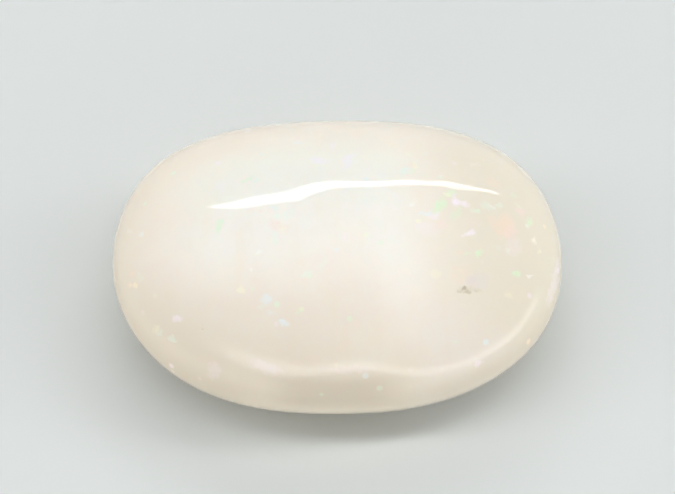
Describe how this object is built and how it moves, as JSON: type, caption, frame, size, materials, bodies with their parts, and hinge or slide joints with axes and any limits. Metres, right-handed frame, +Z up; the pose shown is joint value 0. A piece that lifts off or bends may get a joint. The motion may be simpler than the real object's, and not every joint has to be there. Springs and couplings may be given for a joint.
{
  "type": "opal cabochon",
  "caption": "Loose polished white opal: an oval high-domed cabochon with a rounded girdle and a flat base to rest on.",
  "frame": {"origin": "middle of the stone's outline, on the plane of its flat base", "axes": "+X along the stone's length, +Y across it towards the squarer long side, +Z up through the dome"},
  "size_m": [0.018, 0.0135, 0.0074],
  "materials": {
    "opal": "polished, milky cream with faint play of colour"
  },
  "bodies": {
    "root": {"opal": "opal"}
  },
  "joints": []
}
